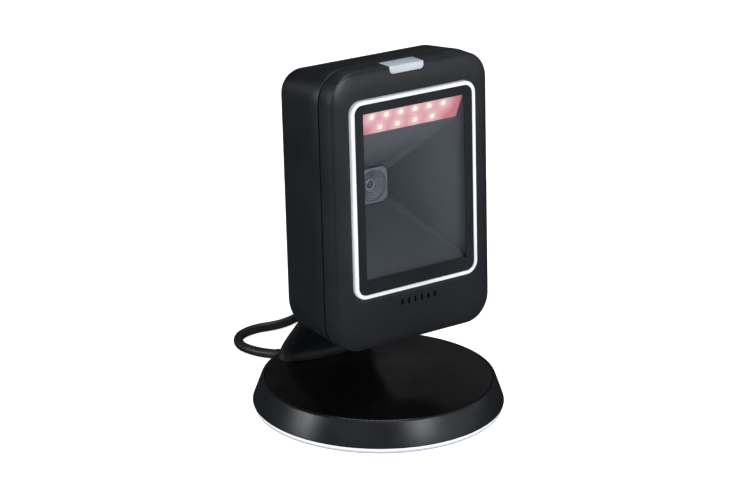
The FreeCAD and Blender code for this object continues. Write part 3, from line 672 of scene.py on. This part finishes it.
def head_ring(inset, y):
    """The head's outer outline at a depth, moved in by inset: the front band, then the deeper rear body."""
    if y <= SEAM_Y:
        start, end, part = BAND_AT_EDGE, BAND_AT_SEAM, (y - EDGE_DEPTH) / (SEAM_Y - EDGE_DEPTH)
    else:
        start, end, part = BODY_AT_SEAM, BODY_AT_BACK, (y - SEAM_Y) / (HEAD_DEPTH - SEAM_Y)
    half_w, low, high, radius, low_radius = (a + (b - a) * part for a, b in zip(start, end))
    return outline(half_w - inset, low + inset, high - inset, radius - inset, y, low_radius - inset)


def pill(x, z, width, height, front, back):
    """A cutter for a slot with round ends, which leave a short flat between their two corners."""
    ring = outline(width / 2, -height / 2, height / 2, width / 2 - 0.01, 0)
    return as_object(skin([[point + Vector((x, y, z)) for point in ring] for y in (front, back)]))


def rod_cutter(x, z, radius, front, back):
    ring = [Vector((point.x, 0, point.y)) for point in circle(radius, 0, 40)]
    return as_object(skin([[point + Vector((x, y, z)) for point in ring] for y in (front, back)]))


def add_front_shell():
    """The front shell: a pillowed face round the window, a fine line round it, a drafted band and a lap."""
    ring_low, ring_high = head_box("window_ring")
    face_y = EDGE_DEPTH - CROWN_DEPTH
    window = outline(ring_high.x, ring_low.z, ring_high.z, RING_R, face_y)
    edge = head_ring(EDGE_ROUND + GROOVE, EDGE_DEPTH)
    rings = [blended(window, window, 0, FRONT_WALL_Y), blended(window, window, 0, face_y + WINDOW_EDGE)]
    for step in range(CROWN_STEPS + 1):
        share = CROWN_START + (1 - CROWN_START) * step / CROWN_STEPS
        rings.append(blended(window, edge, share, face_y + CROWN_DEPTH * share ** CROWN_POWER))
    rings.append(head_ring(EDGE_ROUND, EDGE_DEPTH + GROOVE))
    for degrees in (0, 30, 60, 90):
        turn = math.radians(degrees)
        inset = EDGE_ROUND * (1 - math.sin(turn))
        rings.append(head_ring(inset, EDGE_DEPTH + 0.02 + EDGE_ROUND * (1 - math.cos(turn))))
    rings += [head_ring(0, SEAM_Y - SEAM_BREAK), head_ring(SEAM_BREAK_MID, SEAM_Y - SEAM_BREAK_MID)]
    rings.append(head_ring(SEAM_BREAK, SEAM_Y))
    rings += [head_ring(LAP_T + LAP_GAP, SEAM_Y), head_ring(LAP_T + LAP_GAP, SEAM_Y + LAP_LENGTH)]
    rings += [head_ring(SHELL_WALL, SEAM_Y + LAP_LENGTH), head_ring(SHELL_WALL, FRONT_WALL_Y)]
    shell = as_object(skin(rings, closed=True), "front_shell_moulded")
    carve(shell, [*slot_cutters(), pipe_cutter()])
    place_piece(shell, "head", "face_black", ["front_shell"], HEAD)


SLOT_COUNT = 6
SLOT_PITCH = 3.1
SLOT_W = 1.0
SLOT_H = 2.4


def slot_cutters():
    """The row of sounder slots, in front of the felt."""
    felt_low, felt_high = head_box("sounder_felt")
    middle = (felt_low + felt_high) / 2
    places = [middle.x + (k - (SLOT_COUNT - 1) / 2) * SLOT_PITCH for k in range(SLOT_COUNT)]
    return [pill(x, middle.z, SLOT_W, SLOT_H, 0, FRONT_WALL_Y + 0.5) for x in places]


PIPE_LOW_Z = 44.7
PIPE_TOP_LOW_Z = 46.2
PIPE_CUT_Z = 50.0
PIPE_CORNER = 1.3
PIPE_T = 1.6
PIPE_GAP = 0.06


def pipe_profile():
    """The outline of the light pipe's front, with its lower corners rounded off."""
    low, high = head_box("light_pipe")
    left, right, bottom = low.x - PIPE_GAP, high.x + PIPE_GAP, PIPE_LOW_Z - PIPE_GAP
    points = [(left, PIPE_CUT_Z)]
    for degrees in (0, 30, 60, 90):
        turn = math.radians(degrees)
        reach = PIPE_CORNER * (1 - math.cos(turn)), PIPE_CORNER * (1 - math.sin(turn))
        points.append((left + reach[0], bottom + reach[1]))
    points += [(left + right - x, z) for x, z in reversed(points)]
    return points


def pipe_cutter():
    """The notch over the head's top edge that the light pipe fills."""
    front = [[Vector((x, y, z)) for x, z in pipe_profile()] for y in (CUT_START_Y, EDGE_DEPTH + PIPE_T)]
    notch = as_object(skin(front))
    low, high = head_box("light_pipe")
    left, right, bottom = low.x - PIPE_GAP, high.x + PIPE_GAP, PIPE_TOP_LOW_Z - PIPE_GAP
    corners = ((left, bottom), (right, bottom), (right, PIPE_CUT_Z), (left, PIPE_CUT_Z))
    top = as_object(skin([[Vector((x, y, z)) for x, z in corners] for y in (CUT_START_Y, SEAM_Y + 0.01)]))
    return joined(notch, [top])


def add_rear_shell():
    """The rear shell: a cup with a rounded back, a rebate for the lap, and counterbores for four screws."""
    start, back = SEAM_Y + SEAM_GAP, head_box("rear_shell")[1].y
    outer = [head_ring(SEAM_BREAK, start), head_ring(SEAM_BREAK_MID, start + SEAM_BREAK_MID)]
    outer.append(head_ring(0, start + SEAM_BREAK))
    outer += [head_ring(0, start + (back - REAR_ROUND - start) * share) for share in (0.3, 0.6, 1.0)]
    for degrees in range(15, 91, 15):
        turn = math.radians(degrees)
        outer.append(head_ring(REAR_ROUND * (1 - math.cos(turn)), back - REAR_ROUND * (1 - math.sin(turn))))
    rebate_y = SEAM_Y + LAP_LENGTH + LAP_END_GAP
    inner = [head_ring(SHELL_WALL, back - SHELL_WALL), head_ring(SHELL_WALL, rebate_y)]
    inner += [head_ring(LAP_T, rebate_y), head_ring(LAP_T, start)]
    shell = as_object(skin(inner + outer), "rear_shell_moulded")
    screws_low, screws_high = head_box("shell_screws")
    heights = (screws_low.z + SHELL_SCREW_R, screws_high.z - SHELL_SCREW_R)
    places = [(side * (screws_high.x - SHELL_SCREW_R), z) for side in (-1, 1) for z in heights]
    carve(shell, [rod_cutter(x, z, COUNTERBORE_R, back - COUNTERBORE_DEPTH, back + 1) for x, z in places])
    place_piece(shell, "head", "shell_black", ["rear_shell"], HEAD)


# The rounded edges of the window ring's front, as distances in from each side and back from the front
RING_OUTER_EDGE = ((0, 0.45), (0.06, 0.22), (0.2, 0.06), (0.42, 0))
RING_INNER_EDGE = ((0.4, 0), (0.18, 0.06), (0.05, 0.18), (0, 0.4))


def add_window_ring():
    """The bright frame: rounded front edges, the seat for the pane, and the lip behind it."""
    low, high = head_box("window_ring")
    seat_y = head_box("window_gasket")[1].y
    section = [(0, high.y), *RING_OUTER_EDGE]
    section += [(RING_BAND - distance, y) for distance, y in RING_INNER_EDGE]
    section.append((RING_BAND, seat_y))
    rings = []
    for inset, y in section:
        rings.append(outline(high.x - inset, low.z + inset, high.z - inset, RING_R - inset, y))
    lip_w, lip_h = RING_LIP
    rings += [outline(lip_w, -lip_h, lip_h, 1.0, y) for y in (seat_y, high.y)]
    ring = as_object(skin(rings, closed=True), "window_ring_moulded")
    place_piece(ring, "head", "ring_white", ["window_ring"], HEAD)


LED_W = 1.7
LED_H = 1.6
LED_CORNER = 0.3
LED_SECTION = ((0, 0.25), (0, -0.05), (0.1, -0.15))  # inset and depth of the package's outlines
LED_DOME_R = 0.80
DOME_FOOT_Y = -0.1
DOME_START_Y = -0.15
DOME_RISE = 0.1


def add_leds():
    """Each LED is a package with a domed lens, on the slanted lighting panel."""
    mesh = bmesh.new()
    panel = frame["nodes"]["illumination_board"].data
    facing = max(panel.polygons, key=lambda polygon: polygon.area).normal.copy()
    if facing.y > 0:
        facing = -facing
    tilt = Vector((0, -1, 0)).rotation_difference(facing).to_matrix().to_4x4()
    base = []
    for inset, y in LED_SECTION:
        base.append(outline(LED_W / 2 - inset, inset - LED_H / 2, LED_H / 2 - inset, LED_CORNER, y))
    dome = []
    for radius, y in dome_profile():
        dome.append([Vector((p.x, y, p.y)) for p in circle(LED_DOME_R * radius, 0, len(base[0]))])
    for middle in led_centres():
        for rings in (base, dome):
            part = skin(rings)
            part.transform(Matrix.Translation(middle) @ tilt @ WORLD)
            data = bpy.data.meshes.new("part")
            part.to_mesh(data)
            part.free()
            mesh.from_mesh(data)
    leds = as_object(mesh, "illumination_leds_domed")
    place_piece(leds, "head", "led_warm", ["illumination_leds"], Matrix.Identity(4))


def dome_profile():
    """The LED's lens, as shares of its radius and depths in front of the package."""
    profile = [(1.0, DOME_FOOT_Y)]
    for degrees in (0, 25, 50, 72):
        turn = math.radians(degrees)
        profile.append((math.cos(turn), DOME_START_Y - DOME_RISE * math.sin(turn)))
    return profile


RIDGE_DEPTH = 0.75
RIDGE_STEP = 0.16  # how much deeper each ridge stands than the last
RIDGE_SECTION = ((0, 0.1), (0.12, 0), (0.34, 0), (0.5, RIDGE_DEPTH), (0.82, RIDGE_DEPTH))
BARREL_RIM_Y = 0.5
BARREL_SEAT_Y = 1.7


def add_lens_barrel():
    """The lens barrel: sharp anti-glare ridges that step inwards to the glass."""
    low, high = head_box("lens_barrel")
    middle = (low + high) / 2
    profile = [(LENS_R, high.y), (high.x, high.y), (high.x, low.y + BARREL_RIM_Y)]
    pitch = ridge_pitch(high.x)
    for k in range(LENS_RIDGES):
        ridge_r = high.x - RIDGE_MARGIN - k * pitch
        ridge_y = low.y + RIDGE_MARGIN + RIDGE_STEP * k
        profile += [(ridge_r - pitch * share, ridge_y + depth) for share, depth in RIDGE_SECTION]
    profile.append((LENS_R, low.y + BARREL_SEAT_Y))
    rings = [[Vector((point.x, y, point.y + middle.z)) for point in circle(r, 0)] for r, y in profile]
    barrel = as_object(skin(rings, closed=True), "lens_barrel_turned")
    place_piece(barrel, "head", "barrel_black", ["lens_barrel"], HEAD, 24)


LENS_DOME = 0.5


def add_lens_glass():
    """The outer lens: a glass disc with a domed face."""
    low, high = head_box("lens_glass")
    middle = (low + high) / 2
    section = [(LENS_R, high.y), (LENS_R, low.y + LENS_DOME)]
    section += [(LENS_R * share, low.y + LENS_DOME * share ** 2) for share in (0.85, 0.6, 0.35, 0.12)]
    rings = [[Vector((point.x, y, point.y + middle.z)) for point in circle(r, 0, 40)] for r, y in section]
    glass = as_object(skin(rings), "lens_glass_domed")
    place_piece(glass, "head", "lens_clear", ["lens_glass"], HEAD)


# ---------------------------------------------------------------- the base

BASE_STEPS = 160
BASE_R = 50.0
SKIRT_TOP_R = 46.4
SKIRT_WALL = 2.5
SKIRT_FOOT_Z = 3.0
BASE_TOP_Z = 12.8
DECK_TOP_Z = 11.4
DECK_LOW_Z = 9.4
PLATE_R = 45.3
COVER_R = 49.2
COVER_LOW_Z = 0.6
FOOT_RING_R = 36.0
FOOT_R = 6.0
FOOT_T = 1.4
BASE_SCREW_RING_R = 40.0
BASE_SCREW_ANGLES = (30, 150, 210, 330)
BOSS_R = 2.8
BOSS_HOLE_R = 1.05
COVER_SEAT_R = 2.6
COVER_SEAT_Z = 1.9
COVER_HOLE_R = 1.3
NECK_SCREWS = ((-15.0, 36.6), (15.0, 36.6))
NECK_HOLE_R = 1.5
LEAD_HOLE = (0.0, 36.6)
LEAD_HOLE_R = 3.4
EXIT_HOLE_R = 3.35
EXIT_REACH = 9.0
MOULDED_ROUND = 0.5
COVER_ROUND = 0.9


def rounded(profile, reach, steps=4):
    """A (radius, height) profile with its inner corners rounded off."""
    points = [Vector(point) for point in profile]
    smooth = [points[0]]
    for before, corner, after in zip(points, points[1:], points[2:]):
        start = corner + (before - corner).normalized() * min(reach, (before - corner).length * 0.45)
        end = corner + (after - corner).normalized() * min(reach, (after - corner).length * 0.45)
        for step in range(steps + 1):
            share = step / steps
            smooth.append(start.lerp(corner, share).lerp(corner.lerp(end, share), share))
    return smooth + [points[-1]]


def turned(profile, name):
    """A solid of revolution about the base's axis, with flat ends."""
    return as_object(skin([circle(radius, height, BASE_STEPS) for radius, height in profile]), name)


def upright_rod(x, y, radius, low, high):
    ring = circle(radius, 0, 32)
    return as_object(skin([[point + Vector((x, y, z)) for point in ring] for z in (low, high)]))


def ring_places(radius, angles):
    return [(radius * math.cos(math.radians(a)), radius * math.sin(math.radians(a))) for a in angles]


def exit_cutter(radius, length):
    """A rod along the line that the lead leaves the base by."""
    start, end = Vector(CORD_EXIT), Vector(CORD_ROUTE[0])
    turn = (end - start).to_track_quat("Z", "Y").to_matrix().to_4x4()
    rod = upright_rod(0, 0, radius, -length, length)
    rod.data.transform(Matrix.Translation(start) @ turn)
    return rod


def add_base_shell():
    """The skirt, with its deck, its screw bosses and the lead's exit."""
    profile = [(PLATE_R, DECK_TOP_Z), (PLATE_R, BASE_TOP_Z), (SKIRT_TOP_R, BASE_TOP_Z)]
    profile += [(BASE_R, SKIRT_FOOT_Z), (BASE_R - SKIRT_WALL, SKIRT_FOOT_Z)]
    profile.append((SKIRT_TOP_R - SKIRT_WALL, DECK_LOW_Z))
    shell = turned(rounded(profile, MOULDED_ROUND), "base_shell_moulded")
    screws = ring_places(BASE_SCREW_RING_R, BASE_SCREW_ANGLES)
    joined(shell, [upright_rod(x, y, BOSS_R, SKIRT_FOOT_Z + 0.02, DECK_LOW_Z + 0.5) for x, y in screws])
    holes = [upright_rod(x, y, BOSS_HOLE_R, SKIRT_FOOT_Z - 1, DECK_LOW_Z) for x, y in screws]
    holes += [upright_rod(x, y, NECK_HOLE_R, DECK_LOW_Z - 1, DECK_TOP_Z + 1) for x, y in NECK_SCREWS]
    holes.append(upright_rod(*LEAD_HOLE, LEAD_HOLE_R, DECK_LOW_Z - 1, DECK_TOP_Z + 1))
    holes.append(exit_cutter(EXIT_HOLE_R, EXIT_REACH))
    place_piece(carve(shell, holes), "stand", "shell_black", ["base_shell"])


def add_bottom_cover():
    """The white cover under the base, with its pockets for the feet and its screw holes."""
    profile = [(COVER_R, SKIRT_FOOT_Z), (COVER_R, COVER_LOW_Z), (COVER_R - 2, COVER_LOW_Z)]
    cover = turned(rounded(profile, COVER_ROUND, 6), "bottom_cover_moulded")
    feet = ring_places(FOOT_RING_R, (0, 90, 180, 270))
    screws = ring_places(BASE_SCREW_RING_R, BASE_SCREW_ANGLES)
    pockets = [upright_rod(x, y, FOOT_R, 0, FOOT_T) for x, y in feet]
    pockets += [upright_rod(x, y, COVER_SEAT_R, 0, COVER_SEAT_Z) for x, y in screws]
    pockets += [upright_rod(x, y, COVER_HOLE_R, 0, SKIRT_FOOT_Z + 1) for x, y in screws]
    place_piece(carve(cover, pockets), "stand", "cover_white", ["bottom_cover"])


# ---------------------------------------------------------------- pieces that keep their CAD form

SOFT_EDGES = {
    "base_top_plate": 0.12,
    "rubber_feet": 0.2,
    "hinge_caps": 0.15,
    "hinge_lug": 0.4,
    "light_pipe": 0.18,
    "lens_bezel": 0.2,
    "optical_chamber": 0.12,
    "strain_relief": 0.1,
    "cable_tie": 0.15,
    "usb_plug_body": 0.15,
    "usb_plug_shell": 0.08,
    "usb_plug_tongue": 0.1,
}


def add_softened_nodes():
    for node, width in SOFT_EDGES.items():
        softened_copy(node, width)


# ---------------------------------------------------------------- the lead

CORD_EXIT = Vector((-4.0, 49.0, 5.0))
CORD_ROUTE = (
    (-8.1, 60.2, 3.4),
    (-11.3, 69.0, 2.0),
    (-14.1, 79.5, 2.0),
    (-8.9, 89.2, 2.0),
    (1.6, 92.7, 2.0),
    (13.3, 89.9, 2.0),
    (24.9, 93.0, 2.0),
)
CORD_D = 4.0
COIL_START_DEG = 128
COIL_RADII = (26, 22, 18, 18, 22, 26, 26, 22, 18)
COIL_TURNS_PER_LAYER = 3
COIL_FIRST_Z = 2.8
POINTS_PER_TURN = 16
STEP_IN_POINTS = 3  # the points over which the lead moves on to its next turn
LAST_TURN = (
    # (share of the climb to the tail, radius): inside the coil past the plug, then up and outwards
    (0, 17), (0, 15.5), (0, 14), (0, 14), (0.15, 14), (0.5, 14), (0.85, 14.5), (1, 16), (1, 18.5), (1, 21),
)
TAIL_Z = 14.9
TAIL_R = 20.0
TAIL_DEGREES = range(-95, -271, -25)
TAIL_BEFORE_TURN = 6.0
TAIL_INTO_PLUG = 0.5


def coil_points():
    """Nine turns wound in three layers, clockwise from above, then part of a turn up to the tail."""
    low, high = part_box("cable_coil")
    centre = (low + high) / 2 / MM
    step = 2 * math.pi / POINTS_PER_TURN
    outward = 1 / math.cos(step / 2)
    turn = math.radians(COIL_START_DEG)
    radius, height = COIL_RADII[0], COIL_FIRST_Z
    points = []
    for k, next_radius in enumerate(COIL_RADII):
        next_height = COIL_FIRST_Z + CORD_D * (k // COIL_TURNS_PER_LAYER)
        for j in range(POINTS_PER_TURN):
            share = min(1.0, j / STEP_IN_POINTS)
            r = (radius + (next_radius - radius) * share) * outward
            z = height + (next_height - height) * share
            points.append((centre.x + r * math.cos(turn), centre.y + r * math.sin(turn), z))
            turn -= step
        radius, height = next_radius, next_height
    for share, r in LAST_TURN:
        z = height + (TAIL_Z - height) * share
        points.append((centre.x + r * math.cos(turn), centre.y + r * math.sin(turn), z))
        turn -= step
    return points


def tail_points():
    """The last loose bend over the coil, up to the plug's sleeve."""
    low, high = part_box("cable_tail")
    middle_y = (low.y + high.y) / 2 / MM
    turn_x = low.x / MM + CORD_D / 2 + TAIL_R
    points = [(turn_x + TAIL_BEFORE_TURN, middle_y - TAIL_R, TAIL_Z)]
    for degrees in TAIL_DEGREES:
        turn = math.radians(degrees)
        points.append((turn_x + TAIL_R * math.cos(turn), middle_y + TAIL_R * math.sin(turn), TAIL_Z))
    points.append((turn_x + TAIL_INTO_PLUG, middle_y + TAIL_R, TAIL_Z))
    return points


def add_cord():
    data = bpy.data.curves.new("usb_lead", "CURVE")
    data.dimensions = "3D"
    data.bevel_depth = CORD_D / 2 * MM
    data.bevel_resolution = 6
    data.resolution_u = 6
    data.use_fill_caps = True
    points = [tuple(CORD_EXIT), *CORD_ROUTE, *coil_points(), *tail_points()]
    spline = data.splines.new("NURBS")
    spline.points.add(len(points) - 1)
    for target, point in zip(spline.points, points):
        target.co = (*(Vector(point) * MM), 1)
    spline.order_u = 3
    spline.use_endpoint_u = True
    cord = bpy.data.objects.new("usb_lead", data)
    bpy.context.scene.collection.objects.link(cord)
    data.materials.append(SLOT_MATERIALS["cord_black"])
    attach(cord, "stand")
    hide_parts("usb_cable", "cable_coil", "cable_tail")
    on_cord = ("strain_relief", "cable_tie", "usb_plug_body", "usb_plug_shell", "usb_plug_tongue")
    on_cord = [bpy.data.objects[name + "_moulded"] for name in on_cord]


add_camera()
add_studio()
dress_cad_nodes()
add_front_shell()
add_rear_shell()
add_window_ring()
add_leds()
add_lens_barrel()
add_lens_glass()
add_base_shell()
add_bottom_cover()
add_softened_nodes()
add_cord()
